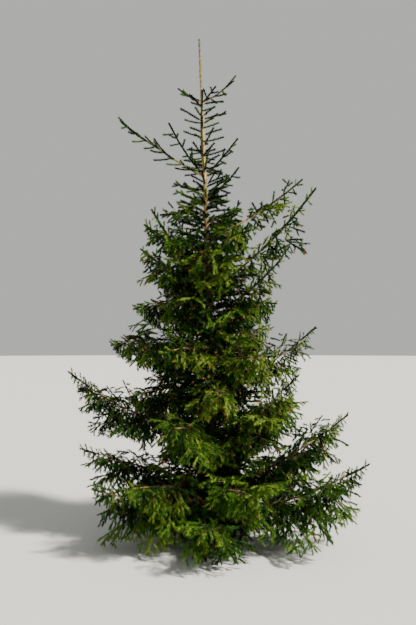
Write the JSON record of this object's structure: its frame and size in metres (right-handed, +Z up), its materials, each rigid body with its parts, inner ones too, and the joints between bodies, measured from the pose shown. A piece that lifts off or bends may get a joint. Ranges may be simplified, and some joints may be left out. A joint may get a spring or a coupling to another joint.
{
  "type": "norway spruce tree",
  "caption": "Young open-grown Norway spruce with an open spire, a dense middle and a broad skirt of hanging boughs.",
  "frame": {"origin": "middle of the flat cut under the trunk, at ground level", "axes": "+Z up along the trunk, +X to the right and +Y away from the viewer of the front"},
  "size_m": [2.336, 2.0708, 4.22],
  "materials": {
    "bark": "rough grey-brown bark",
    "bough_bark": "smoother tan bark of young limbs",
    "needles": "dark green needled twigs"
  },
  "bodies": {
    "root": {"bough_girth_right": "bough_bark", "bough_hem_right_front": "bough_bark", "bough_lower_left": "bough_bark", "bough_neck_right": "bough_bark", "bough_upper_right": "bough_bark", "mass_crown_back": "needles", "mass_crown_front": "needles", "mass_crown_left": "needles", "mass_crown_left_front": "needles", "mass_crown_right": "needles", "mass_girth_back": "needles", "mass_girth_front": "needles", "mass_girth_left": "needles", "mass_girth_right": "needles", "mass_hem_front": "needles", "mass_hem_left_back": "needles", "mass_hem_left_front": "needles", "mass_hem_right_back": "needles", "mass_hem_right_front": "needles", "mass_leader_right": "needles", "mass_lower_front": "needles", "mass_lower_left": "needles", "mass_lower_left_back": "needles", "mass_lower_right_back": "needles", "mass_lower_right_front": "needles", "mass_middle_left": "needles", "mass_middle_left_back": "needles", "mass_middle_left_front": "needles", "mass_middle_right_back": "needles", "mass_middle_right_front": "needles", "mass_neck_back": "needles", "mass_neck_front": "needles", "mass_neck_left": "needles", "mass_neck_left_back": "needles", "mass_neck_right": "needles", "mass_shoulder_left": "needles", "mass_shoulder_right": "needles", "mass_skirt_back": "needles", "mass_skirt_left": "needles", "mass_skirt_left_front": "needles", "mass_skirt_right": "needles", "mass_skirt_right_front": "needles", "mass_spire_back": "needles", "mass_spire_left": "needles", "mass_spire_right": "needles", "mass_top_left": "needles", "mass_top_left_back": "needles", "mass_top_right": "needles", "mass_top_right_front": "needles", "mass_upper_left": "needles", "mass_upper_left_back": "needles", "mass_upper_right": "needles", "mass_upper_right_back": "needles", "mass_upper_right_front": "needles", "mass_waist_back": "needles", "mass_waist_left": "needles", "mass_waist_left_front": "needles", "mass_waist_right": "needles", "mass_waist_right_front": "needles", "trunk": "bark"}
  },
  "joints": []
}
